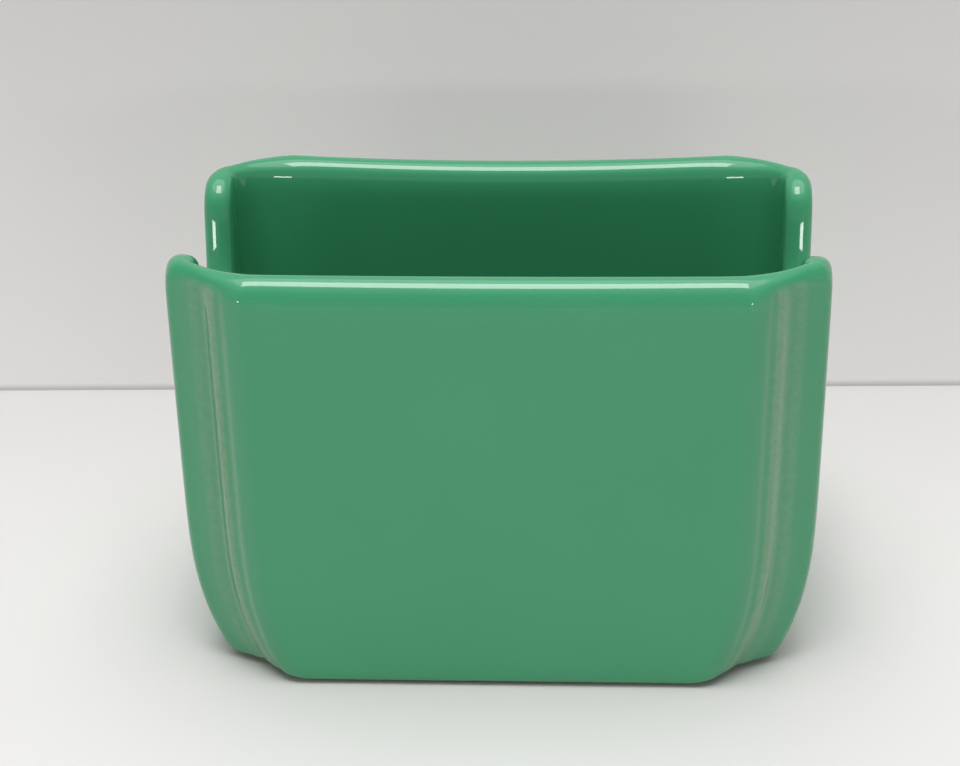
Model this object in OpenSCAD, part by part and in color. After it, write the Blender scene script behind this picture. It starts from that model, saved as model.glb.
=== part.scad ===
/* [Holder] */
// Length from end to end, over the glaze
holder_l = 96.4; // [84:0.1:120]
// Depth from the front face to the rear face, over the glaze
holder_d = 61.6; // [54:0.1:76]
// Height from the table to the top of the rim
holder_h = 65; // [56:1:84]

/* [Walls] */
// Thickness of an end wall with the glaze on both sides
end_wall_t = 4.6; // [4.4:0.1:6]
// Thickness of a long wall with the glaze on both sides
long_wall_t = 6.2; // [5.2:0.1:6.6]
// Thickness of the clay floor above the table
floor_t = 5; // [4:0.25:8]
// Thickness of the glaze
glaze_t = 0.35; // [0.2:0.05:0.5]
// Radius between the walls and the floor inside
floor_r = 6; // [4:0.5:8]
// How far the middle of a long wall bows inwards at the rim
wall_bow = 1.2; // [0.2:0.1:2]

/* [Rim] */
// Height of the outer half of the rolled rim
rim_outer_h = 4.4; // [2.4:0.1:5]
// Height of the inner half of the rolled rim
rim_inner_h = 3.8; // [2.4:0.1:4.6]
// Height of the outer half of the rolled rim at the ends
tip_roll_h = 4.2; // [2.4:0.1:4.8]
// How far the rim dips in the middle of a long wall
rim_dip = 0.6; // [0.1:0.1:1.5]

/* [Ends] */
// How far the ends lean in from the rim to the foot
end_lean = 1.3; // [0.2:0.1:2]
// How far the ends curve in under themselves at the foot
end_tuck = 5.6; // [3:0.1:8]
// Height at which the ends start to curve in
end_tuck_h = 26; // [22:1:50]
// How far the long faces lean in from the rim to the foot
face_lean = 0.4; // [0.1:0.1:1]

/* [Corner ribs] */
// Width of the plain strip between the end and its nearest rib
strip_w = 4.8; // [4:0.1:6]
// Distance from one rib to the next, along the face
rib_pitch = 2.75; // [2.2:0.05:3.4]
// How far each rib sits behind the one before it
rib_step = 2.7; // [1.6:0.05:2.8]
// Width of the soft bevel along each rib and groove
rib_bevel = 0.45; // [0.3:0.05:0.6]
// How far the strip falls back from its rib to the end of the holder
strip_fall = 2; // [0.8:0.1:2.4]
// Radius of the upright corner at the end of the strip
corner_r = 2; // [1.4:0.1:2.6]
// Height below which the ribs run together into one chamfer
fade_h = 16; // [10:0.5:24]

/* [End scoops] */
// Width of the upright left standing at each corner, along the end
post_w = 10; // [9:0.1:12]
// Depth of the scoop below the rim
scoop_h = 22; // [16:0.5:26]
// Lean of the sides of the scoop, in degrees from upright
scoop_lean = 10; // [4:1:16]
// Radius at the top of each side of the scoop
scoop_lip_r = 6; // [4:0.1:6.6]
// Radius from each side of the scoop to its bottom
scoop_heel_r = 13; // [6:0.5:16]

/* [Foot] */
// Radius of the outer edge of the foot
foot_r = 2; // [1.2:0.1:2.6]
// Width of the bare foot on the table
foot_w = 3; // [2:0.25:4.5]
// Height of the recess inside the foot
recess_h = 1.2; // [0.8:0.1:2]
// How far the side of the recess leans in
recess_lean = 0.8; // [0.4:0.1:1.5]
// Width of bare clay left between the foot and the glaze in the recess
recess_bare_w = 0.6; // [0.3:0.1:1.5]

/* [Hidden] */

// The clay by itself, without the glaze over it
clay_l = holder_l - 2 * glaze_t;
clay_d = holder_d - 2 * glaze_t;
clay_h = holder_h - glaze_t;
clay_end_wall = end_wall_t - 2 * glaze_t;
clay_long_wall = long_wall_t - 2 * glaze_t;
clay_lip_r = scoop_lip_r - glaze_t;
clay_post_w = post_w - 2 * glaze_t;
outer_roll_h = rim_outer_h - glaze_t;
inner_roll_h = rim_inner_h - glaze_t;
end_roll_h = tip_roll_h - glaze_t;
// On the scoops the wall is rounded evenly, within the radius of the lip
scoop_roll_share = 0.85;
scoop_roll_h = min(clay_end_wall / 2, scoop_roll_share * clay_lip_r);
// There its section is squarer than an arc
scoop_roll_power = 0.7;

// The end of the tuck is steeper than an arc
tuck_power = 2.8;
// The walls stand upright from the lower edge of the rolled rim
lean_top = clay_h - outer_roll_h;
function lean_share(z) = max(0, 1 - z / lean_top);
function end_inset(z) =
    end_lean * lean_share(z) + end_tuck * pow(max(0, 1 - z / end_tuck_h), tuck_power);
function face_inset(z) = face_lean * lean_share(z);
// The outer edge of the foot turns in towards the table
function sole_inset(z) =
    z < foot_r ? foot_r - sqrt(foot_r * foot_r - (foot_r - z) * (foot_r - z)) : 0;
function half_l(z) = clay_l / 2 - end_inset(z) - sole_inset(z);
function half_d(z) = clay_d / 2 - face_inset(z) - sole_inset(z);

// One quarter of the plan is a row of stations, from the middle of a long face (the first),
// round the stepped corner, to the middle of an end (the last)
face_shares = [0, 0.3, 0.6, 0.85];
rib_count = 3;
groove_share = 0.5;
arc_turns = [0, 45, 90];
lip_turns = [for (share = [0 : 1 / 3 : 1]) share * (90 - scoop_lean)];
heel_turns = [for (share = [0 : 0.2 : 1]) mix(scoop_lean, 90, share)];

// Corner outline, each point as [in from the end, back from the face]
strip_top = strip_w + (rib_count - 1) * rib_pitch;
strip_back = (rib_count - 1) * rib_step;
corner_back = strip_back + strip_fall;
rib_turns = [
    for (i = [0 : rib_count - 1]) each [
        [strip_top - i * rib_pitch, i * rib_step],
        if (i < rib_count - 1)
            [strip_top - (i + groove_share) * rib_pitch, (i + 1) * rib_step]
    ]
];
corner_frame = concat(
    [[strip_top + rib_pitch, 0]],
    rib_turns,
    [[corner_r, corner_back]]
);
function mix(a, b, share) = a * (1 - share) + b * share;
function along(a, b, d) = a + d * (b - a) / norm(b - a);
rib_points = [
    for (i = [1 : len(rib_turns)]) each [
        along(corner_frame[i], corner_frame[i - 1], rib_bevel),
        along(corner_frame[i], corner_frame[i + 1], rib_bevel)
    ]
];
corner_points = concat(
    rib_points,
    [
        for (turn = arc_turns)
            [corner_r * (1 - sin(turn)), corner_back + corner_r * (1 - cos(turn))]
    ]
);

// Just under the rim the ribs melt into one smooth fall from the face to the end
lip_start = strip_top + rib_pitch / 2;
lip_power = 1.4;
melt_turn = 45;
function lip_back(p) =
    p[1] >= corner_back ? p[1]
    : corner_back * pow(max(0, lip_start - p[0]) / (lip_start - corner_r), lip_power);

// Near the foot the ribs run together into one chamfer, from the face to a notch by the strip
fade_power = 1.6;
function fade(z) = pow(max(0, 1 - z / fade_h), fade_power);
notch_share = 0.25;
fade_x = strip_w + notch_share * rib_pitch;
function chamfer_back(p) =
    p[1] >= corner_back ? p[1]
    : p[0] < fade_x ? mix(corner_back, strip_back, (p[0] - corner_r) / (fade_x - corner_r))
    : strip_back * max(0, strip_top - p[0]) / (strip_top - fade_x);

// The hollow has plain corners, and each ends just before the scoop begins
post_flat = 0.6;
hollow_corner_l = strip_top - strip_w + 2 * rib_pitch;
hollow_corner_d = corner_back + clay_post_w - clay_lip_r - clay_long_wall - post_flat;
corner_pull_share = 0.62;
function hollow_corner(share) =
    let (
        start = [hollow_corner_l, 0],
        middle = [hollow_corner_l, hollow_corner_d] * (1 - corner_pull_share) / 2,
        finish = [0, hollow_corner_d]
    )
    pow(1 - share, 2) * start + 2 * share * (1 - share) * middle + pow(share, 2) * finish;

// Path of the rim along one half of an end: each place as [out from the middle, height], with
// the direction that the rim faces there
scoop_half_w = clay_d / 2 - corner_back - clay_post_w;
scoop_z = clay_h - scoop_h;
lip_centre = [scoop_half_w + clay_lip_r, clay_h - clay_lip_r];
// Each side leans from the end of the lip to the heel, whose radius fits the scoop
side_up = [-cos(scoop_lean), sin(scoop_lean)];
lip_end = lip_centre + clay_lip_r * side_up;
heel_room_w = (scoop_z * sin(scoop_lean) - lip_end * side_up) / (1 - sin(scoop_lean));
heel_room_h = (lip_end[1] - scoop_z) / (1 - sin(scoop_lean));
heel_room_share = 0.95;
heel_r = min(scoop_heel_r + glaze_t, heel_room_share * min(heel_room_w, heel_room_h));
heel_out = ((scoop_z + heel_r) * sin(scoop_lean) - heel_r - lip_end * side_up) / cos(scoop_lean);
heel_centre = [heel_out, scoop_z + heel_r];
scoop_path = concat(
    [
        for (turn = lip_turns)
            let (up = [-sin(turn), cos(turn)])
            [lip_centre + clay_lip_r * up, up]
    ],
    [
        for (turn = heel_turns)
            let (up = [-cos(turn), sin(turn)])
            [heel_centre - heel_r * up, up]
    ],
    [[[0, scoop_z], [0, 1]]]
);

n_face = len(face_shares);
n_corner = len(corner_points);
n_end = len(scoop_path);
n_quarter = n_face + n_corner + n_end;

// Height below which every row of points is level
level_top = scoop_z - rim_outer_h - foot_r;

// How far out an end station stands while the rows are level. Low down the stations are spread
// along the end, and near the scoop they stand below their places on the rim.
lip_out_share = 0.97;
heel_out_share = 0.82;
sill_out_share = 0.36;
heel_pull_share = 0.92;
level_mid = level_top / 2;
scoop_edge = scoop_half_w + scoop_roll_h;
function end_out(k, straight, z) =
    let (
        i = k - n_face - n_corner,
        n = len(lip_turns),
        near = min(1, max(0, (z - level_mid) / (level_top - level_mid))),
        spread = (i + 1) / (n + 1)
    )
    i < n ?
        mix(straight * mix(lip_out_share, heel_out_share, i / n), mix(straight, scoop_edge, spread), near)
    : i < n + len(heel_turns) ?
        mix(
            straight * mix(sill_out_share, heel_out_share, cos(heel_turns[i - n])),
            heel_pull_share * (scoop_path[i][0] - scoop_path[i][1] * scoop_roll_h)[0],
            near
        )
    : 0;

function bow(k, z) =
    k < n_face ? wall_bow * (1 - pow(face_shares[k], 2)) * pow(z / clay_h, 2) : 0;
function dip(k) = k < n_face ? rim_dip * (1 - pow(face_shares[k], 2)) : 0;

// Plan of the outside at a height, with the ribs melted away by a share
function outer_plan(k, z, melt) =
    k < n_face ? [face_shares[k] * (half_l(z) - strip_top), half_d(z) - bow(k, z)]
    : k < n_face + n_corner ?
        let (
            p = corner_points[k - n_face],
            back = mix(mix(p[1], lip_back(p), melt), chamfer_back(p), fade(z))
        )
        [half_l(z) - p[0], half_d(z) - back]
    : [half_l(z), end_out(k, half_d(z) - corner_back - corner_r, z)];

// Plan of a plain outline that stands in from the ends and the faces
function plain_plan(k, z, end_in, face_in) =
    let (
        straight = half_l(z) - end_in - hollow_corner_l,
        upright = half_d(z) - face_in - hollow_corner_d
    )
    k < n_face ? [face_shares[k] * straight, half_d(z) - face_in - bow(k, z)]
    : k < n_face + n_corner ?
        let (p = hollow_corner((k - n_face + 1) / n_corner))
        [half_l(z) - end_in - p[0], half_d(z) - face_in - p[1]]
    : [half_l(z) - end_in, end_out(k, upright, z)];

// Plan of the inside of the walls at a height, or of an outline further in
function inner_plan(k, z, further = 0) =
    plain_plan(k, z, clay_end_wall + further, clay_long_wall + further);

// The rim of each station: its place along the end wall and its height, and which way it faces
function rim(k) =
    k < n_face + n_corner ? [[0, clay_h - dip(k)], [0, 1]] : scoop_path[k - n_face - n_corner];
function outer_roll(k) =
    k < n_face ? outer_roll_h
    : k < n_face + n_corner ? mix(outer_roll_h, end_roll_h, (k - n_face + 1) / n_corner)
    : scoop_roll_h;
function inner_roll(k) =
    k < n_face ? inner_roll_h
    : k < n_face + n_corner ? mix(inner_roll_h, scoop_roll_h, (k - n_face + 1) / n_corner)
    : scoop_roll_h;

// A point between the level rows (share 0) and the edge of the rim's roll (share 1)
function wall_point(k, share, outside) =
    let (
        edge = rim(k)[0] - rim(k)[1] * (outside ? outer_roll(k) : inner_roll(k)),
        z = mix(level_top, edge[1], share),
        plan = outside ? outer_plan(k, z, 0) : inner_plan(k, z),
        y = k < n_face + n_corner ? plan[1] : mix(plan[1], edge[0], share)
    )
    [plan[0], y, z];

// A point on the rolled rim, from the outside (turn 0) over the top to the inside (turn 180)
function rim_point(k, turn) =
    let (
        lip_share = min(1, max(0, k - n_face - n_corner + 1) / len(lip_turns)),
        power = mix(1, scoop_roll_power, lip_share),
        across = sign(cos(turn)) * pow(abs(cos(turn)), power),
        up = pow(sin(turn), power),
        place = rim(k)[0] + rim(k)[1] * (turn < 90 ? outer_roll(k) : inner_roll(k)) * (up - 1),
        z = place[1],
        melt = min(1, turn / melt_turn),
        out = outer_plan(k, z, melt),
        in = inner_plan(k, z),
        plan = mix(out, in, (1 - across) / 2)
    )
    [plan[0], k < n_face + n_corner ? plan[1] : place[0], z];

// All four quarters of a row, counterclockwise seen from above
function whole(quarter) =
    let (n = len(quarter))
    concat(
        [for (k = [0 : n - 1]) [quarter[k][0], -quarter[k][1], quarter[k][2]]],
        [for (k = [n - 2 : -1 : 0]) quarter[k]],
        [for (k = [1 : n - 1]) [-quarter[k][0], quarter[k][1], quarter[k][2]]],
        [for (k = [n - 2 : -1 : 1]) [-quarter[k][0], -quarter[k][1], quarter[k][2]]]
    );
stations = [0 : n_quarter - 1];
function level_row(z, outside) =
    whole([for (k = stations) concat(outside ? outer_plan(k, z, 0) : inner_plan(k, z), z)]);

// Rows of the outside, from the foot to the level top, as shares of the height between them
level_shares = [0.08, 0.18, 0.31, 0.48, 0.72, 1];
// Rows of the inside, from the level top to the top of the floor's curve
inner_level_shares = [1, 0.6, 0.25];
blend_shares = [0.5, 1];
roll_turns = [22.5, 45, 67.5, 90, 112.5, 135, 157.5];
floor_turns = [0, 30, 60, 90];
curve_top = floor_t + floor_r;

// The glaze ends on the rounded edge of the foot, at the second of these rows
sole_turns = [90, 55, 27.5, 0];
sole_rows = [for (turn = sole_turns) level_row(foot_r * (1 - sin(turn)), true)];
wall_rows = [for (share = level_shares) level_row(mix(foot_r, level_top, share), true)];
blend_rows = [
    for (share = blend_shares) whole([for (k = stations) wall_point(k, share, true)])
];
roll_rows = [for (turn = roll_turns) whole([for (k = stations) rim_point(k, turn)])];
inner_blend_rows = [
    for (i = [len(blend_shares) - 1 : -1 : 0])
        whole([for (k = stations) wall_point(k, blend_shares[i], false)])
];
inner_rows = [
    for (share = inner_level_shares) level_row(mix(curve_top, level_top, share), false)
];
function floor_plan(k, turn) =
    inner_plan(k, curve_top - floor_r * sin(turn), floor_r * (1 - cos(turn)));
floor_rows = [
    for (turn = floor_turns)
        whole([for (k = stations) concat(floor_plan(k, turn), curve_top - floor_r * sin(turn))])
];
glazed_rows = concat(
    [for (i = [1 : len(sole_turns) - 1]) sole_rows[i]],
    wall_rows, blend_rows, roll_rows, inner_blend_rows, inner_rows, floor_rows
);

// The foot turns up into the recess under the floor
function foot_row(inset, z) =
    whole([for (k = stations) concat(plain_plan(k, 0, inset, inset), z)]);
recess_rows = [foot_row(foot_w + recess_lean, recess_h), foot_row(foot_w, 0)];

// Direction straight out of the surface at one point of the rows
function facing(rows, i, k) =
    let (
        n = len(rows[0]),
        below = rows[max(0, i - 1)][k],
        above = rows[min(len(rows) - 1, i + 1)][k],
        before = rows[i][(k + n - 1) % n],
        after = rows[i][(k + 1) % n],
        out = cross(after - before, above - below)
    )
    i == len(rows) - 1 ? [0, 0, 1] : out / norm(out);
function grown(rows, d) = [
    for (i = [0 : len(rows) - 1])
        [for (k = [0 : len(rows[i]) - 1]) rows[i][k] + d * facing(rows, i, k)]
];
function turned_round(rows) = [for (i = [len(rows) - 1 : -1 : 0]) rows[i]];

// A closed solid through rows of points, closed flat at both ends round a middle point. Each
// patch between four points is split along its shorter diagonal.
module skin(rows) {
    n = len(rows[0]);
    last = (len(rows) - 1) * n;
    points = concat(
        [for (row = rows) each row],
        [[0, 0, rows[0][0][2]], [0, 0, rows[len(rows) - 1][0][2]]]
    );
    function patch(a, b) =
        norm(points[a] - points[b + n]) < norm(points[b] - points[a + n])
            ? [[a, a + n, b + n], [a, b + n, b]]
            : [[a, a + n, b], [b, a + n, b + n]];
    polyhedron(
        points = points,
        faces = concat(
            [for (k = [0 : n - 1]) [last + n, k, (k + 1) % n]],
            [for (i = [0 : len(rows) - 2], k = [0 : n - 1]) each patch(i * n + k, i * n + (k + 1) % n)],
            [for (k = [0 : n - 1]) [last + n + 1, last + (k + 1) % n, last + k]]
        )
    );
}

// Fired clay: walls, ribs, rim, scoops, floor and foot
module clay_body() {
    color("#e9e0d0")
        skin(concat(recess_rows, [sole_rows[0]], glazed_rows));
}

// Glaze over the outside, the rim and the inside, ending on the edge of the foot
module glaze_coat() {
    color("#4e916b")
        skin(concat(turned_round(glazed_rows), grown(glazed_rows, glaze_t)));
}

// Glaze on the ceiling of the recess under the floor
module base_glaze() {
    color("#4a8a66")
        translate([0, 0, recess_h - glaze_t])
            linear_extrude(glaze_t)
                polygon([
                    for (p = foot_row(foot_w + recess_lean + recess_bare_w, recess_h)) [p[0], p[1]]
                ]);
}

clay_body();
glaze_coat();
base_glaze();
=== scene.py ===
# A glazed ceramic sugar packet holder on a white table, with one lamp overhead and two in front.
import math

import bmesh
import bpy
from mathutils import Matrix, Vector


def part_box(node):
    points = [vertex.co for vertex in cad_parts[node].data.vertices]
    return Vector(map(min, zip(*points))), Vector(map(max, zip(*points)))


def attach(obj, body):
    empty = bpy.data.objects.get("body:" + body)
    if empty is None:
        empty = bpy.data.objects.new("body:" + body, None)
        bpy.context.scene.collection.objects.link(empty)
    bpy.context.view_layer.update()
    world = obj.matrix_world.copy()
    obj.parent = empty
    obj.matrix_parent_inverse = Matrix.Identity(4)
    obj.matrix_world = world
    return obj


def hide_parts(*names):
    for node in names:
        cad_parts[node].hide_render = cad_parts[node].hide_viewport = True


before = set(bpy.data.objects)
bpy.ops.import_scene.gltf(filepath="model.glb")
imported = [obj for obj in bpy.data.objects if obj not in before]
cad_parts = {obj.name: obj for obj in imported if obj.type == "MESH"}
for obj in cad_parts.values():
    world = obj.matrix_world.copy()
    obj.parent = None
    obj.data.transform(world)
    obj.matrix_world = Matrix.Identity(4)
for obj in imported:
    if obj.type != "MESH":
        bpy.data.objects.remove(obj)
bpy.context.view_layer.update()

# Lengths are in millimetres, and MM makes metres of them. Angles are in degrees.
MM = 0.001

# The overall size, the glaze's thickness and the recess's height come from the frame.
glaze_low, glaze_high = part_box("glaze_coat")
_, clay_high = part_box("clay_body")
_, base_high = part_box("base_glaze")
HOLDER_L = (glaze_high.x - glaze_low.x) / MM
HOLDER_D = (glaze_high.y - glaze_low.y) / MM
HOLDER_H = glaze_high.z / MM
GLAZE_T = (glaze_high.z - clay_high.z) / MM
RECESS_H = base_high.z / MM

# Walls and rim
END_WALL_T = 4.6
LONG_WALL_T = 6.2
FLOOR_T = 5
FLOOR_R = 6
WALL_BOW = 1.2
RIM_OUTER_H = 4.4
RIM_INNER_H = 3.8
TIP_ROLL_H = 4.2
RIM_DIP = 0.6

# Ends and long faces
END_LEAN = 1.3
END_TUCK = 5.6
END_TUCK_H = 26
TUCK_POWER = 2.8
FACE_LEAN = 0.4

# Corner ribs
STRIP_W = 4.8
RIB_COUNT = 3
RIB_PITCH = 2.75
RIB_STEP = 2.7
RIB_BEVEL = 0.5
FACE_RIB_BEVEL = 1.3
GROOVE_SHARE = 0.5
STRIP_FALL = 2
CORNER_R = 2
CORNER_TURNS = (0, 45, 90)
LIP_POWER = 1.4
MELT_TURN = 45
FADE_H = 16
FADE_POWER = 1.6
NOTCH_SHARE = 0.25
# Where the glaze has run thin: on each ridge and groove from the face on, and on the strip
THIN_SHARES = (0.1, 0.32, 1, 0.5, 0.6)
STRIP_THIN_SHARE = 0.12
# How far the thin glaze fades out beside the last rib, and beside the first one, on the face
EDGE_RUN = 1.5
FACE_EDGE_RUN = 2.2

# End scoops
POST_W = 10
SCOOP_H = 22
SCOOP_LEAN = 10
SCOOP_LIP_R = 6
SCOOP_HEEL_R = 13
SCOOP_ROLL_H = 2.3
SCOOP_ROLL_POWER = 0.7

# Foot: the glaze ends part of the way down its rounded edge
FOOT_R = 2
FOOT_GLAZE_TURN = 55
FOOT_W = 3
GLAZE_EDGE_H = FOOT_R * (1 - math.sin(math.radians(FOOT_GLAZE_TURN)))
RECESS_LEAN = 0.8
RECESS_BARE_W = 0.6


def mix(a, b, share):
    """The value or place that lies a share of the way from a to b."""
    return a * (1 - share) + b * share


def turned(degrees):
    """(cosine, sine) of an angle in degrees."""
    return math.cos(math.radians(degrees)), math.sin(math.radians(degrees))


# The corner in plan, each point as (in from the end, back from the face)
STRIP_TOP = STRIP_W + (RIB_COUNT - 1) * RIB_PITCH
CORNER_BACK = (RIB_COUNT - 1) * RIB_STEP + STRIP_FALL


def rib_turns():
    """The turns of the ribs, from the face to the plain strip: a ridge and a groove by turns."""
    turns = []
    for i in range(RIB_COUNT):
        turns.append(Vector((STRIP_TOP - i * RIB_PITCH, i * RIB_STEP)))
        if i < RIB_COUNT - 1:
            turns.append(Vector((STRIP_TOP - (i + GROOVE_SHARE) * RIB_PITCH, (i + 1) * RIB_STEP)))
    return turns


def corner_stations():
    """The corner's points, each turn softened by a bevel, with how thin the glaze is there."""
    turns = rib_turns()
    path = [Vector((STRIP_TOP + RIB_PITCH, 0)), *turns, Vector((CORNER_R, CORNER_BACK))]
    stations = []
    for i, turn in enumerate(turns):
        before = (path[i] - turn).normalized()
        after = (path[i + 2] - turn).normalized()
        bevel = RIB_BEVEL if i else FACE_RIB_BEVEL
        if i == 0:
            stations.append((turn + FACE_EDGE_RUN * before, 0))
        stations.append((turn + bevel * before, THIN_SHARES[i]))
        stations.append((turn + bevel * after, THIN_SHARES[i]))
        if i == len(turns) - 1:
            stations.append((turn + EDGE_RUN * after, STRIP_THIN_SHARE))
    for degrees in CORNER_TURNS:
        c, s = turned(degrees)
        place = Vector((CORNER_R * (1 - s), CORNER_BACK + CORNER_R * (1 - c)))
        stations.append((place, STRIP_THIN_SHARE))
    return stations


# The stations of a quarter's rows: along the face, round the corner, and down the scoop's lip and heel
FACE_SHARES = (0, 0.35, 0.7, 0.9)
CORNER = corner_stations()
LIP_SHARES = (0, 0.33, 0.67, 1)
HEEL_SHARES = (0, 0.3, 0.6, 0.85)
LIP_START = STRIP_TOP + RIB_PITCH / 2
N_FACE = len(FACE_SHARES)
N_CORNER = len(CORNER)
N_SIDE = N_FACE + N_CORNER
N_LIP = len(LIP_SHARES)
N_HEEL = len(HEEL_SHARES)
N_QUARTER = N_SIDE + N_LIP + N_HEEL + 1

# The rows, from the foot up the outside, over the rim's roll and down to the floor inside
SOLE_TURNS = (FOOT_GLAZE_TURN, FOOT_GLAZE_TURN / 2, 0)
OUTER_LEVEL_SHARES = (0.08, 0.18, 0.31, 0.48, 0.72, 1)
OUTER_BLEND_SHARES = (0.5, 0.9)
ROLL_TURNS = (10, 30, 50, 70, 90, 112, 135, 160)
INNER_BLEND_SHARES = (0.85, 0.4)
INNER_LEVEL_SHARES = (1, 0.5)
FLOOR_TURNS = (0, 30, 60, 90)
# The glaze is thin on the rows below the roll and on the first ones of the roll
THIN_ROLL_ROWS = 2
THIN_ROWS = len(SOLE_TURNS) + len(OUTER_LEVEL_SHARES) + len(OUTER_BLEND_SHARES) + THIN_ROLL_ROWS

# Where the end stations stand low down, as shares of the end's straight half
LIP_OUT_SHARE = 0.97
HEEL_OUT_SHARE = 0.82
SILL_OUT_SHARE = 0.36
HEEL_PULL_SHARE = 0.92
# The heels of a scoop's two sides don't quite meet in the middle
HEEL_ROOM_SHARE = 0.95

# The hollow's corners, and the flat that they leave inside a post
POST_FLAT = 0.6
HOLLOW_CORNER_L = STRIP_TOP - STRIP_W + 2 * RIB_PITCH
HOLLOW_CORNER_D = CORNER_BACK + POST_W - SCOOP_LIP_R - LONG_WALL_T - POST_FLAT
CORNER_PULL_SHARE = 0.62


class Skin:
    """The holder's surface at a depth below the outside of the glaze."""

    def __init__(self, depth):
        self.length = HOLDER_L - 2 * depth
        self.width = HOLDER_D - 2 * depth
        self.height = HOLDER_H - depth
        self.end_wall = END_WALL_T - 2 * depth
        self.long_wall = LONG_WALL_T - 2 * depth
        self.lip_r = SCOOP_LIP_R - depth
        self.heel_r = SCOOP_HEEL_R + depth
        self.outer_roll_h = RIM_OUTER_H - depth
        self.tip_roll_h = TIP_ROLL_H - depth
        self.inner_roll_h = RIM_INNER_H - depth
        self.scoop_roll_h = SCOOP_ROLL_H - depth
        self.scoop_z = HOLDER_H - SCOOP_H - depth
        self.scoop_half_w = HOLDER_D / 2 - CORNER_BACK - POST_W + depth
        self.level_top = self.scoop_z - RIM_OUTER_H - FOOT_R
        self.curve_top = FLOOR_T + FLOOR_R
        self.floor_r = FLOOR_R - GLAZE_T + depth
        self.scoop_path = self.find_scoop_path()

    def find_scoop_path(self):
        """The rim's path down one side of the scoop: (out from the middle, height), facing."""
        lip_centre = Vector((self.scoop_half_w + self.lip_r, self.height - self.lip_r))
        c, s = turned(SCOOP_LEAN)
        side_up = Vector((-c, s))
        lip_end = lip_centre + self.lip_r * side_up
        heel_room = (self.scoop_z * s - lip_end.dot(side_up)) / (1 - s)
        self.heel_r = min(self.heel_r, HEEL_ROOM_SHARE * heel_room)
        heel_z = self.scoop_z + self.heel_r
        heel_out = (heel_z * s - self.heel_r - lip_end.dot(side_up)) / c
        path = []
        for share in LIP_SHARES:
            c, s = turned(share * (90 - SCOOP_LEAN))
            up = Vector((-s, c))
            path.append((lip_centre + self.lip_r * up, up))
        for share in HEEL_SHARES:
            c, s = turned(mix(SCOOP_LEAN, 90, share))
            up = Vector((-c, s))
            path.append((Vector((heel_out, heel_z)) - self.heel_r * up, up))
        path.append((Vector((0, self.scoop_z)), Vector((0, 1))))
        return path

    def lean_share(self, z):
        """The share of the sides' lean at a height: all of it at the table, none under the rim."""
        return max(0, 1 - z / (HOLDER_H - RIM_OUTER_H))

    def sole_inset(self, z):
        """How far the foot's rounded edge stands in at a height."""
        if z >= FOOT_R:
            return 0
        return FOOT_R - math.sqrt(FOOT_R**2 - (FOOT_R - z) ** 2)

    def half_l(self, z):
        """Half the length at a height."""
        tuck = END_TUCK * max(0, 1 - z / END_TUCK_H) ** TUCK_POWER
        return self.length / 2 - END_LEAN * self.lean_share(z) - tuck - self.sole_inset(z)

    def half_d(self, z):
        """Half the depth at a height, at the ends of the long faces."""
        return self.width / 2 - FACE_LEAN * self.lean_share(z) - self.sole_inset(z)

    def end_out(self, k, straight, z):
        """How far out from the middle an end station stands while the rows are level."""
        i = k - N_SIDE
        level_mid = self.level_top / 2
        near = min(1, max(0, (z - level_mid) / (self.level_top - level_mid)))
        if i < N_LIP:
            low = straight * mix(LIP_OUT_SHARE, HEEL_OUT_SHARE, i / N_LIP)
            edge = self.scoop_half_w + self.scoop_roll_h
            return mix(low, mix(straight, edge, (i + 1) / (N_LIP + 1)), near)
        if i < N_LIP + N_HEEL:
            place, up = self.scoop_path[i]
            low = straight * mix(SILL_OUT_SHARE, HEEL_OUT_SHARE, -up.x)
            return mix(low, HEEL_PULL_SHARE * (place - up * self.scoop_roll_h).x, near)
        return 0

    def bow(self, k, z):
        """How far a station of the long face bows in at a height."""
        if k >= N_FACE:
            return 0
        return WALL_BOW * (1 - FACE_SHARES[k] ** 2) * (z / HOLDER_H) ** 2

    def outer_plan(self, k, z, melt=0):
        """The outside in plan, with the ribs melted away by a share."""
        if k < N_FACE:
            along = FACE_SHARES[k] * (self.half_l(z) - STRIP_TOP)
            return Vector((along, self.half_d(z) - self.bow(k, z)))
        if k < N_SIDE:
            place = CORNER[k - N_FACE][0]
            low = max(0, 1 - z / FADE_H) ** FADE_POWER
            back = mix(mix(place.y, lip_back(place), melt), chamfer_back(place), low)
            return Vector((self.half_l(z) - place.x, self.half_d(z) - back))
        return Vector((self.half_l(z), self.end_out(k, self.half_d(z) - CORNER_BACK - CORNER_R, z)))

    def inner_plan(self, k, z, further=0):
        """A plain outline inside the walls, or further in."""
        return self.plain_plan(k, z, self.end_wall + further, self.long_wall + further)

    def plain_plan(self, k, z, end_in, face_in):
        """A plain outline that stands in from the outside by two distances."""
        length = self.half_l(z) - end_in
        width = self.half_d(z) - face_in
        if k < N_FACE:
            return Vector((FACE_SHARES[k] * (length - HOLLOW_CORNER_L), width - self.bow(k, z)))
        if k < N_SIDE:
            place = hollow_corner((k - N_FACE + 1) / N_CORNER)
            return Vector((length - place.x, width - place.y))
        return Vector((length, self.end_out(k, width - HOLLOW_CORNER_D, z)))

    def rim(self, k):
        """The rim of a station: its place along the end wall and its height, and its facing."""
        if k < N_FACE:
            return Vector((0, self.height - RIM_DIP * (1 - FACE_SHARES[k] ** 2))), Vector((0, 1))
        if k < N_SIDE:
            return Vector((0, self.height)), Vector((0, 1))
        return self.scoop_path[k - N_SIDE]

    def roll_h(self, k, outside):
        """How far the rim's roll reaches down on one of its sides."""
        if k >= N_SIDE:
            return self.scoop_roll_h
        share = max(0, k - N_FACE + 1) / N_CORNER
        if outside:
            return mix(self.outer_roll_h, self.tip_roll_h, share)
        return mix(self.inner_roll_h, self.scoop_roll_h, share)

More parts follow.
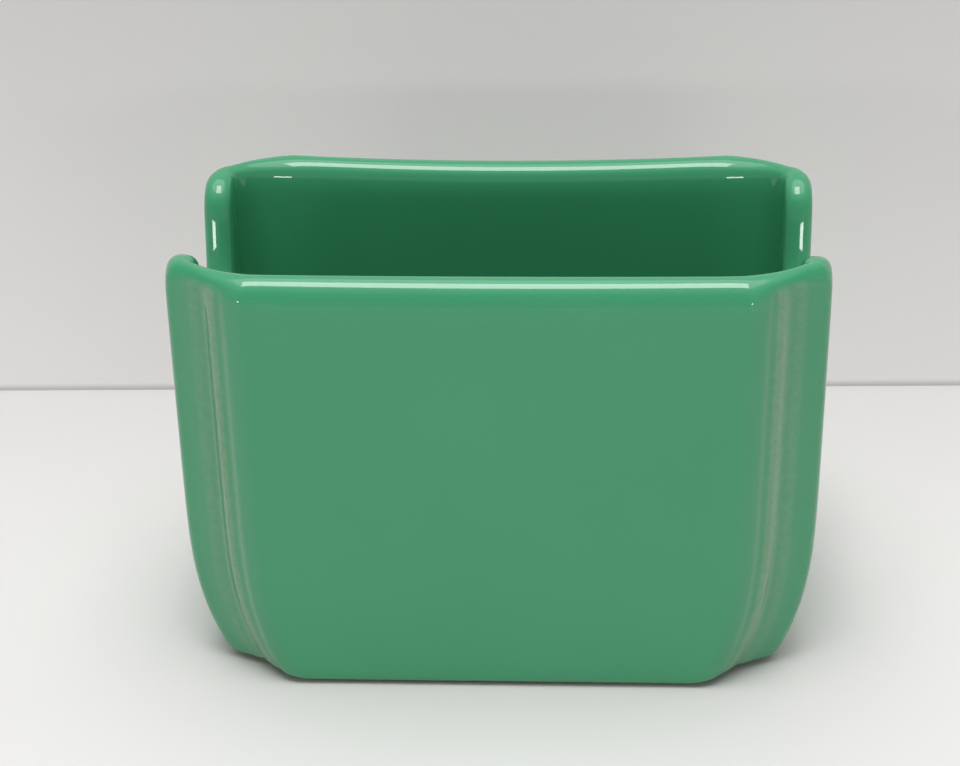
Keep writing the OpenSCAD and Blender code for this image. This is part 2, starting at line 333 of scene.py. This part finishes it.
    def roll_shape(self, k, degrees):
        """(cosine, sine) on the rim's roll, which is squarer on the scoops."""
        c, s = turned(degrees)
        power = mix(1, SCOOP_ROLL_POWER, min(1, max(0, k - N_SIDE + 1) / N_LIP))
        return math.copysign(abs(c) ** power, c), abs(s) ** power

    def level_row(self, z, outside):
        """A row of one quarter at one height."""
        row = []
        for k in range(N_QUARTER):
            plan = self.outer_plan(k, z) if outside else self.inner_plan(k, z)
            row.append(Vector((plan.x, plan.y, z)))
        return row

    def blend_row(self, share, outside):
        """A row between the level rows (share 0) and the edge of the rim's roll (share 1)."""
        row = []
        for k in range(N_QUARTER):
            place, up = self.rim(k)
            edge = place - up * self.roll_h(k, outside)
            z = mix(self.level_top, edge.y, share)
            plan = self.outer_plan(k, z) if outside else self.inner_plan(k, z)
            y = plan.y if k < N_SIDE else mix(plan.y, edge.x, share)
            row.append(Vector((plan.x, y, z)))
        return row

    def roll_row(self, degrees):
        """A row on the rolled rim, from the outside (0) over the top to the inside (180)."""
        row = []
        for k in range(N_QUARTER):
            c, s = self.roll_shape(k, degrees)
            place, up = self.rim(k)
            place = place + up * self.roll_h(k, degrees < 90) * (s - 1)
            outer = self.outer_plan(k, place.y, min(1, degrees / MELT_TURN))
            plan = mix(outer, self.inner_plan(k, place.y), (1 - c) / 2)
            row.append(Vector((plan.x, plan.y if k < N_SIDE else place.x, place.y)))
        return row

    def floor_row(self, degrees):
        """A row on the curve from the walls to the floor inside."""
        c, s = turned(degrees)
        z = self.curve_top - self.floor_r * s
        row = []
        for k in range(N_QUARTER):
            plan = self.inner_plan(k, z, self.floor_r * (1 - c))
            row.append(Vector((plan.x, plan.y, z)))
        return row

    def foot_row(self, inset, z):
        """A row under the holder, on or inside the foot."""
        row = []
        for k in range(N_QUARTER):
            plan = self.plain_plan(k, 0, inset, inset)
            row.append(Vector((plan.x, plan.y, z)))
        return row

    def sole_row(self, degrees):
        """A row on the rounded edge of the foot, from upright (0) to the table (90)."""
        return self.level_row(FOOT_R * (1 - turned(degrees)[1]), True)

    def glazed_rows(self):
        """Every row that the glaze covers, from just above the foot to the floor inside."""
        rows = [self.sole_row(degrees) for degrees in SOLE_TURNS]
        for share in OUTER_LEVEL_SHARES:
            rows.append(self.level_row(mix(FOOT_R, self.level_top, share), True))
        for share in OUTER_BLEND_SHARES:
            rows.append(self.blend_row(share, True))
        for degrees in ROLL_TURNS:
            rows.append(self.roll_row(degrees))
        for share in INNER_BLEND_SHARES:
            rows.append(self.blend_row(share, False))
        for share in INNER_LEVEL_SHARES:
            rows.append(self.level_row(mix(self.curve_top, self.level_top, share), False))
        for degrees in FLOOR_TURNS:
            rows.append(self.floor_row(degrees))
        return rows


def lip_back(place):
    """How far back the smooth lip stands over the ribs."""
    if place.y >= CORNER_BACK:
        return place.y
    return CORNER_BACK * (max(0, LIP_START - place.x) / (LIP_START - CORNER_R)) ** LIP_POWER


def chamfer_back(place):
    """How far back the corner stands at the foot, where its ribs have run into one chamfer."""
    inner = Vector((STRIP_W + NOTCH_SHARE * RIB_PITCH, (RIB_COUNT - 1) * RIB_STEP))
    if place.y >= CORNER_BACK:
        return place.y
    if place.x < inner.x:
        return mix(CORNER_BACK, inner.y, (place.x - CORNER_R) / (inner.x - CORNER_R))
    return inner.y * max(0, STRIP_TOP - place.x) / (STRIP_TOP - inner.x)


def hollow_corner(share):
    """A point on the hollow's corner, as (in from the end wall, back from the long wall)."""
    start = Vector((HOLLOW_CORNER_L, 0))
    middle = Vector((HOLLOW_CORNER_L, HOLLOW_CORNER_D)) * (1 - CORNER_PULL_SHARE) / 2
    finish = Vector((0, HOLLOW_CORNER_D))
    return (1 - share) ** 2 * start + 2 * share * (1 - share) * middle + share**2 * finish


def extrude_row(bm, verts, row):
    """Extrudes a chain of edges from its vertices to the next row's places."""
    edges = [bm.edges.get(pair) for pair in zip(verts, verts[1:])]
    made = bmesh.ops.extrude_edge_only(bm, edges=edges)["geom"]
    fresh = {v for v in made if isinstance(v, bmesh.types.BMVert)}
    moved = []
    for v, place in zip(verts, row):
        new = next(e.other_vert(v) for e in v.link_edges if e.other_vert(v) in fresh)
        new.co = place
        moved.append(new)
    return moved


def lofted_quarter(rows, thinness=None):
    """A bmesh of one quarter, extruded from row to row, with how thin the glaze is on its vertices."""
    bm = bmesh.new()
    layer = bm.verts.layers.float.new("thin_glaze")
    verts = [bm.verts.new(place) for place in rows[0]]
    for pair in zip(verts, verts[1:]):
        bm.edges.new(pair)
    for i, row in enumerate(rows):
        if i:
            verts = extrude_row(bm, verts, row)
        for k, v in enumerate(verts):
            v[layer] = thinness(i, k) if thinness else 0
    return bm


# Vertices that lie closer than this are one
SEAM = 0.001
# The edge that keeps a flat face's outline in shape when the piece is subdivided
RING_INSET = 1.5


def whole(bm):
    """Mirrors a quarter along both middle planes, and joins the quarters where they meet."""
    for axis in "XY":
        everything = bm.verts[:] + bm.edges[:] + bm.faces[:]
        bmesh.ops.mirror(bm, geom=everything, axis=axis, merge_dist=SEAM)
    bmesh.ops.remove_doubles(bm, verts=bm.verts, dist=SEAM)


def close_ring(bm, z):
    """Closes the open ring of edges at one height with an inset face."""
    ring = [e for e in bm.edges if e.is_boundary and all(abs(v.co.z - z) < SEAM for v in e.verts)]
    made = bmesh.ops.edgeloop_fill(bm, edges=ring)["faces"]
    bmesh.ops.inset_region(bm, faces=made, thickness=RING_INSET)


def finished(bm, name):
    """An object of the bmesh, brought to metres, smoothly shaded, with outward faces."""
    bmesh.ops.recalc_face_normals(bm, faces=bm.faces)
    bmesh.ops.scale(bm, vec=Vector((MM, MM, MM)), verts=bm.verts)
    mesh = bpy.data.meshes.new(name)
    bm.to_mesh(mesh)
    bm.free()
    mesh.shade_smooth()
    piece = bpy.data.objects.new(name, mesh)
    bpy.context.scene.collection.objects.link(piece)
    return piece


# How many times the faces of the large pieces and of the recess's glaze are divided
LEVELS = 2
RECESS_LEVELS = 1


def subdivided(piece, levels=LEVELS):
    """The piece with its faces divided and rounded off."""
    smooth = piece.modifiers.new("smooth", "SUBSURF")
    smooth.levels = levels
    smooth.render_levels = levels
    return piece


def glaze_thinness(i, k):
    """How thin the glaze has run at a station of a row: only on the outside of the corners."""
    if i >= THIN_ROWS or not N_FACE <= k < N_SIDE:
        return 0
    return CORNER[k - N_FACE][1]


def make_glaze_coat():
    """The glaze over the outside, the rim and the inside, as a coat of even thickness."""
    skin = Skin(0)
    bm = lofted_quarter(skin.glazed_rows(), glaze_thinness)
    whole(bm)
    close_ring(bm, skin.curve_top - skin.floor_r)
    piece = finished(bm, "glaze")
    coat = piece.modifiers.new("coat", "SOLIDIFY")
    coat.thickness = GLAZE_T * MM
    coat.offset = -1
    return subdivided(piece)


def make_clay_body():
    """The fired clay under the glaze, with its bare foot and the recess inside the foot."""
    skin = Skin(GLAZE_T)
    rows = [
        skin.foot_row(FOOT_W + RECESS_LEAN, RECESS_H),
        skin.foot_row(FOOT_W + RECESS_LEAN / 2, RECESS_H / 2),
        skin.foot_row(FOOT_W, 0),
        skin.sole_row(90),
        *skin.glazed_rows(),
    ]
    bm = lofted_quarter(rows)
    whole(bm)
    close_ring(bm, RECESS_H)
    close_ring(bm, skin.curve_top - skin.floor_r)
    return subdivided(finished(bm, "clay"))


def make_base_glaze():
    """The glaze on the ceiling of the recess under the floor."""
    skin = Skin(GLAZE_T)
    inset = FOOT_W + RECESS_LEAN + RECESS_BARE_W
    rows = [
        skin.foot_row(inset, RECESS_H),
        skin.foot_row(inset, RECESS_H - GLAZE_T / 2),
        skin.foot_row(inset + GLAZE_T, RECESS_H - GLAZE_T),
    ]
    bm = lofted_quarter(rows)
    whole(bm)
    close_ring(bm, RECESS_H)
    close_ring(bm, RECESS_H - GLAZE_T)
    return subdivided(finished(bm, "recess_glaze"), RECESS_LEVELS)


def linear(hex_colour):
    """An sRGB hex colour as linear red, green, blue and alpha."""
    channels = [int(hex_colour[i : i + 2], 16) / 255 for i in (1, 3, 5)]
    values = [c / 12.92 if c <= 0.04045 else ((c + 0.055) / 1.055) ** 2.4 for c in channels]
    return (*values, 1)


def add_node(tree, kind, links=None, **settings):
    """Adds a node with its links and properties, and its sockets' values as inputs."""
    node = tree.nodes.new(kind)
    inputs = settings.pop("inputs", {})
    for name, value in settings.items():
        setattr(node, name, value)
    for name, value in inputs.items():
        node.inputs[name].default_value = value
    for name, source in (links or {}).items():
        tree.links.new(source, node.inputs[name])
    return node


def set_stops(ramp, stops):
    """Gives a colour ramp its stops, each as (place, colour), from the lowest place up."""
    elements = ramp.color_ramp.elements
    while len(elements) < len(stops):
        elements.new(1)
    for element, (place, colour) in zip(elements, stops):
        element.position = place
        element.color = linear(colour)


def new_material(name):
    """A material whose node tree is empty."""
    material = bpy.data.materials.new(name)
    material.use_nodes = True
    material.node_tree.nodes.clear()
    return material


def per_metre(length):
    """A pattern's scale, for features of a length in millimetres."""
    return 1 / (length * MM)


# Glaze: how broad its drift, its flecks and its waves are, how high the waves are, and how far
# the clay's colour shows through where the glaze is thinnest
DRIFT_SIZE = 22
FLECK_SIZE = 1.2
WAVE_SIZE = 3.5
WAVE_H = 0.03
SHOW_THROUGH_SHARE = 0.45


def make_glaze():
    """Opaque green stoneware glaze, dipped and fired to a gloss.

    It is one even colour with a faint drift and almost flat waves, and it goes paler and browner,
    in fine flecks, where it has run thin over the ribs.
    """
    material = new_material("opaque_green_glaze")
    tree = material.node_tree
    place = add_node(tree, "ShaderNodeTexCoord").outputs["Object"]
    drift = add_node(
        tree, "ShaderNodeTexNoise", {"Vector": place},
        inputs={"Scale": per_metre(DRIFT_SIZE), "Detail": 3.0, "Roughness": 0.5},
    )
    drift_colour = add_node(
        tree, "ShaderNodeMix", {"Factor": drift.outputs["Fac"]}, data_type="RGBA",
        inputs={"A": linear("#3c9468"), "B": linear("#41986d")},
    )
    thin = add_node(tree, "ShaderNodeAttribute", attribute_name="thin_glaze").outputs["Fac"]
    fleck = add_node(
        tree, "ShaderNodeTexNoise", {"Vector": place},
        inputs={"Scale": per_metre(FLECK_SIZE), "Detail": 4.0, "Roughness": 0.6},
    )
    thin_share = add_node(
        tree, "ShaderNodeMapRange", {"Value": thin},
        inputs={"From Min": 0.0, "From Max": 1.0, "To Min": 0.0, "To Max": SHOW_THROUGH_SHARE},
    )
    broken = add_node(
        tree, "ShaderNodeMath", {0: thin_share.outputs["Result"], 1: fleck.outputs["Fac"]},
        operation="MULTIPLY",
    )
    colour = add_node(
        tree, "ShaderNodeMix",
        {"Factor": broken.outputs["Value"], "A": drift_colour.outputs["Result"]},
        data_type="RGBA", inputs={"B": linear("#b5a896")},
    )
    waves = add_node(
        tree, "ShaderNodeTexNoise", {"Vector": place},
        inputs={"Scale": per_metre(WAVE_SIZE), "Detail": 2.0, "Roughness": 0.4},
    )
    bump = add_node(
        tree, "ShaderNodeBump", {"Height": waves.outputs["Fac"]},
        inputs={"Strength": 0.1, "Distance": WAVE_H * MM},
    )
    rough = add_node(
        tree, "ShaderNodeMapRange", {"Value": drift.outputs["Fac"]},
        inputs={"To Min": 0.02, "To Max": 0.05},
    )
    shader = add_node(
        tree, "ShaderNodeBsdfPrincipled",
        {
            "Base Color": colour.outputs["Result"],
            "Roughness": rough.outputs["Result"],
            "Normal": bump.outputs["Normal"],
        },
        inputs={"IOR": 1.5},
    )
    add_node(tree, "ShaderNodeOutputMaterial", {"Surface": shader.outputs["BSDF"]})
    return material


# Bare clay: its grit, a little coarser than real so that it shows, and how much painted contact shade,
# with a little grime, there is from the table (0) up to the edge of the glaze (1)
GRIT_SIZE = 0.5
GRIT_H = 0.05
CONTACT_SHADE_STOPS = ((0, "#000000"), (0.15, "#ffffff"), (0.9, "#ffffff"), (1, "#000000"))


def make_clay():
    """Bare off-white stoneware, ground flat on the foot: matt, with fine grit.

    Painted contact shade, with a little grime, darkens the edges of the foot, up to where the glaze
    begins.
    """
    material = new_material("bare_stoneware")
    tree = material.node_tree
    place = add_node(tree, "ShaderNodeTexCoord").outputs["Object"]
    grit = add_node(
        tree, "ShaderNodeTexNoise", {"Vector": place},
        inputs={"Scale": per_metre(GRIT_SIZE), "Detail": 3.0, "Roughness": 0.6},
    )
    colour = add_node(
        tree, "ShaderNodeMix", {"Factor": grit.outputs["Fac"]}, data_type="RGBA",
        inputs={"A": linear("#d8ccb8"), "B": linear("#efe7d9")},
    )
    height = add_node(tree, "ShaderNodeSeparateXYZ", {"Vector": place}).outputs["Z"]
    edge = add_node(
        tree, "ShaderNodeMapRange", {"Value": height}, inputs={"From Max": GLAZE_EDGE_H * MM}
    )
    shade_and_grime = add_node(tree, "ShaderNodeValToRGB", {"Fac": edge.outputs["Result"]})
    set_stops(shade_and_grime, CONTACT_SHADE_STOPS)
    # Painted shade: the bare edge between the table and the glaze is mixed towards a dark brown
    shaded_clay = add_node(
        tree, "ShaderNodeMix", {"Factor": shade_and_grime.outputs["Color"], "A": colour.outputs["Result"]},
        data_type="RGBA", inputs={"B": linear("#3a342b")},
    )
    bump = add_node(
        tree, "ShaderNodeBump", {"Height": grit.outputs["Fac"]},
        inputs={"Strength": 0.5, "Distance": GRIT_H * MM},
    )
    shader = add_node(
        tree, "ShaderNodeBsdfPrincipled",
        {"Base Color": shaded_clay.outputs["Result"], "Normal": bump.outputs["Normal"]},
        inputs={"Roughness": 0.85, "IOR": 1.5},
    )
    add_node(tree, "ShaderNodeOutputMaterial", {"Surface": shader.outputs["BSDF"]})
    return material


glaze = make_glaze()
clay = make_clay()
for piece, material, slot, node in (
    (make_glaze_coat(), glaze, "glaze", "glaze_coat"),
    (make_clay_body(), clay, "clay", "clay_body"),
    (make_base_glaze(), glaze, "glaze", "base_glaze"),
):
    piece.data.materials.append(material)
    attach(piece, "root")
    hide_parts(node)


# The table and the wall behind it, which is a little turned
TABLE_SPAN = 3000
WALL_Y = 83.3
WALL_H = 200
WALL_SEEN_H = 80
WALL_TURN = 1.6
# The height of the painted shade in the wall's joint with the table
WALL_JOINT_SHADE_H = 1.6
TABLE_HAZE_SIZE = 60
# How strongly the wall glows with painted light, at the table and at the top of what is seen
WALL_LOW_GLOW = 0.74
WALL_HIGH_GLOW = 0.48


def make_plane(name, low, high, material, upright=False, turn=0):
    """A flat stage piece from its low corner to its high corner, facing up or towards -Y."""
    bm = bmesh.new()
    # One square of unit size, which is then scaled to the two corners
    bmesh.ops.create_grid(bm, x_segments=1, y_segments=1, size=0.5)
    if upright:
        bmesh.ops.rotate(bm, verts=bm.verts, matrix=Matrix.Rotation(math.pi / 2, 3, "X"))
    size = Vector(high) - Vector(low)
    bmesh.ops.scale(bm, verts=bm.verts, vec=size)
    bmesh.ops.rotate(bm, verts=bm.verts, matrix=Matrix.Rotation(math.radians(turn), 3, "Z"))
    bmesh.ops.translate(bm, verts=bm.verts, vec=(Vector(low) + Vector(high)) / 2)
    bmesh.ops.scale(bm, verts=bm.verts, vec=Vector((MM, MM, MM)))
    mesh = bpy.data.meshes.new(name)
    bm.to_mesh(mesh)
    bm.free()
    plane = bpy.data.objects.new(name, mesh)
    plane.data.materials.append(material)
    bpy.context.scene.collection.objects.link(plane)


def make_table_paint():
    """Smooth white laminate with a faint haze, too dull to show a clear reflection."""
    material = new_material("white_laminate")
    tree = material.node_tree
    place = add_node(tree, "ShaderNodeTexCoord").outputs["Object"]
    haze = add_node(
        tree, "ShaderNodeTexNoise", {"Vector": place},
        inputs={"Scale": per_metre(TABLE_HAZE_SIZE), "Detail": 2.0, "Roughness": 0.5},
    )
    colour = add_node(
        tree, "ShaderNodeMix", {"Factor": haze.outputs["Fac"]}, data_type="RGBA",
        inputs={"A": linear("#d5d3d2"), "B": linear("#d9d7d6")},
    )
    shader = add_node(
        tree, "ShaderNodeBsdfPrincipled", {"Base Color": colour.outputs["Result"]},
        inputs={"Roughness": 0.6, "IOR": 1.45},
    )
    add_node(tree, "ShaderNodeOutputMaterial", {"Surface": shader.outputs["BSDF"]})
    return material


def make_wall_paint():
    """Matt pale wall paint, with painted shade darkening the joint with the table.

    It glows softly with painted light, most low down, as if lit by the room. From behind, the wall
    isn't there.
    """
    material = new_material("pale_wall_paint")
    tree = material.node_tree
    place = add_node(tree, "ShaderNodeTexCoord").outputs["Object"]
    height = add_node(tree, "ShaderNodeSeparateXYZ", {"Vector": place}).outputs["Z"]
    joint_shade = add_node(
        tree, "ShaderNodeMapRange", {"Value": height}, interpolation_type="SMOOTHSTEP",
        inputs={"From Max": WALL_JOINT_SHADE_H * MM},
    )
    # Painted shade: the wall's colour is darker in its joint with the table
    colour = add_node(
        tree, "ShaderNodeMix", {"Factor": joint_shade.outputs["Result"]}, data_type="RGBA",
        inputs={"A": linear("#94918f"), "B": linear("#b4b2b1")},
    )
    # Painted light: the wall glows, more strongly low down
    painted_glow = add_node(
        tree, "ShaderNodeMapRange", {"Value": height},
        inputs={"From Max": WALL_SEEN_H * MM, "To Min": WALL_LOW_GLOW, "To Max": WALL_HIGH_GLOW},
    )
    shader = add_node(
        tree, "ShaderNodeBsdfPrincipled",
        {
            "Base Color": colour.outputs["Result"],
            "Emission Color": colour.outputs["Result"],
            "Emission Strength": painted_glow.outputs["Result"],
        },
        inputs={"Roughness": 0.9},
    )
    clear = add_node(tree, "ShaderNodeBsdfTransparent")
    back = add_node(tree, "ShaderNodeNewGeometry").outputs["Backfacing"]
    sides = add_node(
        tree, "ShaderNodeMixShader", {0: back, 1: shader.outputs["BSDF"], 2: clear.outputs["BSDF"]}
    )
    add_node(tree, "ShaderNodeOutputMaterial", {"Surface": sides.outputs["Shader"]})
    return material


TABLE_END = TABLE_SPAN / 2
make_plane("table", (-TABLE_END, -TABLE_END, 0), (TABLE_END, TABLE_END, 0), make_table_paint())
make_plane(
    "wall", (-TABLE_END, WALL_Y, 0), (TABLE_END, WALL_Y, WALL_H), make_wall_paint(),
    upright=True, turn=WALL_TURN,
)

# Camera, matched to the photograph's outline of the holder
LENS_MM = 89.96
SENSOR_MM = 36
CAMERA_TARGET = Vector((-3.77, 0, 36.71))
CAMERA_DISTANCE = 374.5
CAMERA_ELEVATION = 23.2
CAMERA_YAW = 3.16
CAMERA_ROLL = -0.92


def make_camera():
    """The camera, aimed at its target from the front and above."""
    data = bpy.data.cameras.new("camera")
    data.lens = LENS_MM
    data.sensor_width = SENSOR_MM
    data.sensor_fit = "HORIZONTAL"
    camera = bpy.data.objects.new("camera", data)
    bpy.context.scene.collection.objects.link(camera)
    bpy.context.scene.camera = camera
    cos_e, sin_e = turned(CAMERA_ELEVATION)
    cos_y, sin_y = turned(CAMERA_YAW)
    cos_r, sin_r = turned(CAMERA_ROLL)
    back = Vector((sin_y * cos_e, -cos_y * cos_e, sin_e))
    level = Vector((0, 0, 1)).cross(back).normalized()
    up = back.cross(level)
    right = level * cos_r + up * sin_r
    top = up * cos_r - level * sin_r
    turn = Matrix((right, top, back)).transposed().to_4x4()
    camera.matrix_world = Matrix.Translation((CAMERA_TARGET + back * CAMERA_DISTANCE) * MM) @ turn


# A large lamp hangs overhead, a little to the front and the left, and lights the rims
LAMP_AHEAD = 13
LAMP_AWAY = 1500
LAMP_LEFT = 55
LAMP_L = 520
LAMP_W = 700
LAMP_POWER = 8.4
# Two small lamps stand low in front, to the left and to the right, and light the posts
FRONT_LAMP_AWAY = 1500
FRONT_LAMP_UP = 6.5
FRONT_LAMP_TURNS = (-22, 18)
FRONT_LAMP_L = 320
FRONT_LAMP_H = 90
FRONT_LAMP_POWER = 1.4


def make_lamp(name, place, aim, size, power):
    """A rectangular lamp that faces a point. Sizes in millimetres, power in watts."""
    data = bpy.data.lights.new(name, "AREA")
    data.shape = "RECTANGLE"
    data.size = size[0] * MM
    data.size_y = size[1] * MM
    data.energy = power
    lamp = bpy.data.objects.new(name, data)
    bpy.context.scene.collection.objects.link(lamp)
    lamp.location = Vector(place) * MM
    away = (Vector(place) - Vector(aim)).normalized()
    lamp.rotation_mode = "QUATERNION"
    lamp.rotation_quaternion = away.to_track_quat("Z", "Y")


def make_lamps():
    """The lamp overhead and the two in front, all aimed at the height of the rim."""
    cos_ahead, sin_ahead = turned(LAMP_AHEAD)
    make_lamp(
        "overhead_lamp",
        (-LAMP_LEFT, -LAMP_AWAY * sin_ahead, HOLDER_H + LAMP_AWAY * cos_ahead),
        (-LAMP_LEFT, 0, HOLDER_H),
        (LAMP_L, LAMP_W),
        LAMP_POWER,
    )
    cos_up, sin_up = turned(FRONT_LAMP_UP)
    for i, turn in enumerate(FRONT_LAMP_TURNS):
        cos_turn, sin_turn = turned(turn)
        make_lamp(
            f"front_lamp_{i + 1}",
            Vector((sin_turn * cos_up, -cos_turn * cos_up, sin_up)) * FRONT_LAMP_AWAY,
            (0, 0, HOLDER_H),
            (FRONT_LAMP_L, FRONT_LAMP_H),
            FRONT_LAMP_POWER,
        )


# The room's light by the sine of the height that it comes from, as greys, white for the ceiling
ROOM_STOPS = (
    (0.17, "#707070"), (0.24, "#4d4d4d"), (0.6, "#4d4d4d"), (0.87, "#a4a4a4"), (0.9, "#ffffff")
)
CEILING_STRENGTH = 2.7


def make_world():
    """A room that is dim all round, darkest a little above the table, under a bright ceiling.

    The camera sees its far side pale.
    """
    world = bpy.data.worlds.new("room")
    world.use_nodes = True
    bpy.context.scene.world = world
    tree = world.node_tree
    tree.nodes.clear()
    ways = add_node(tree, "ShaderNodeTexCoord").outputs["Generated"]
    height = add_node(tree, "ShaderNodeSeparateXYZ", {"Vector": ways}).outputs["Z"]
    room = add_node(tree, "ShaderNodeValToRGB", {"Fac": height})
    set_stops(room, ROOM_STOPS)
    light = add_node(
        tree, "ShaderNodeBackground", {"Color": room.outputs["Color"]},
        inputs={"Strength": CEILING_STRENGTH},
    )
    backdrop = add_node(
        tree, "ShaderNodeBackground", inputs={"Color": linear("#d0cfcd"), "Strength": 1.0}
    )
    seen = add_node(tree, "ShaderNodeLightPath").outputs["Is Camera Ray"]
    shown = add_node(
        tree, "ShaderNodeMixShader",
        {0: seen, 1: light.outputs["Background"], 2: backdrop.outputs["Background"]},
    )
    add_node(tree, "ShaderNodeOutputWorld", {"Surface": shown.outputs["Shader"]})


make_camera()
make_world()
make_lamps()
bpy.context.scene.view_settings.view_transform = "Standard"
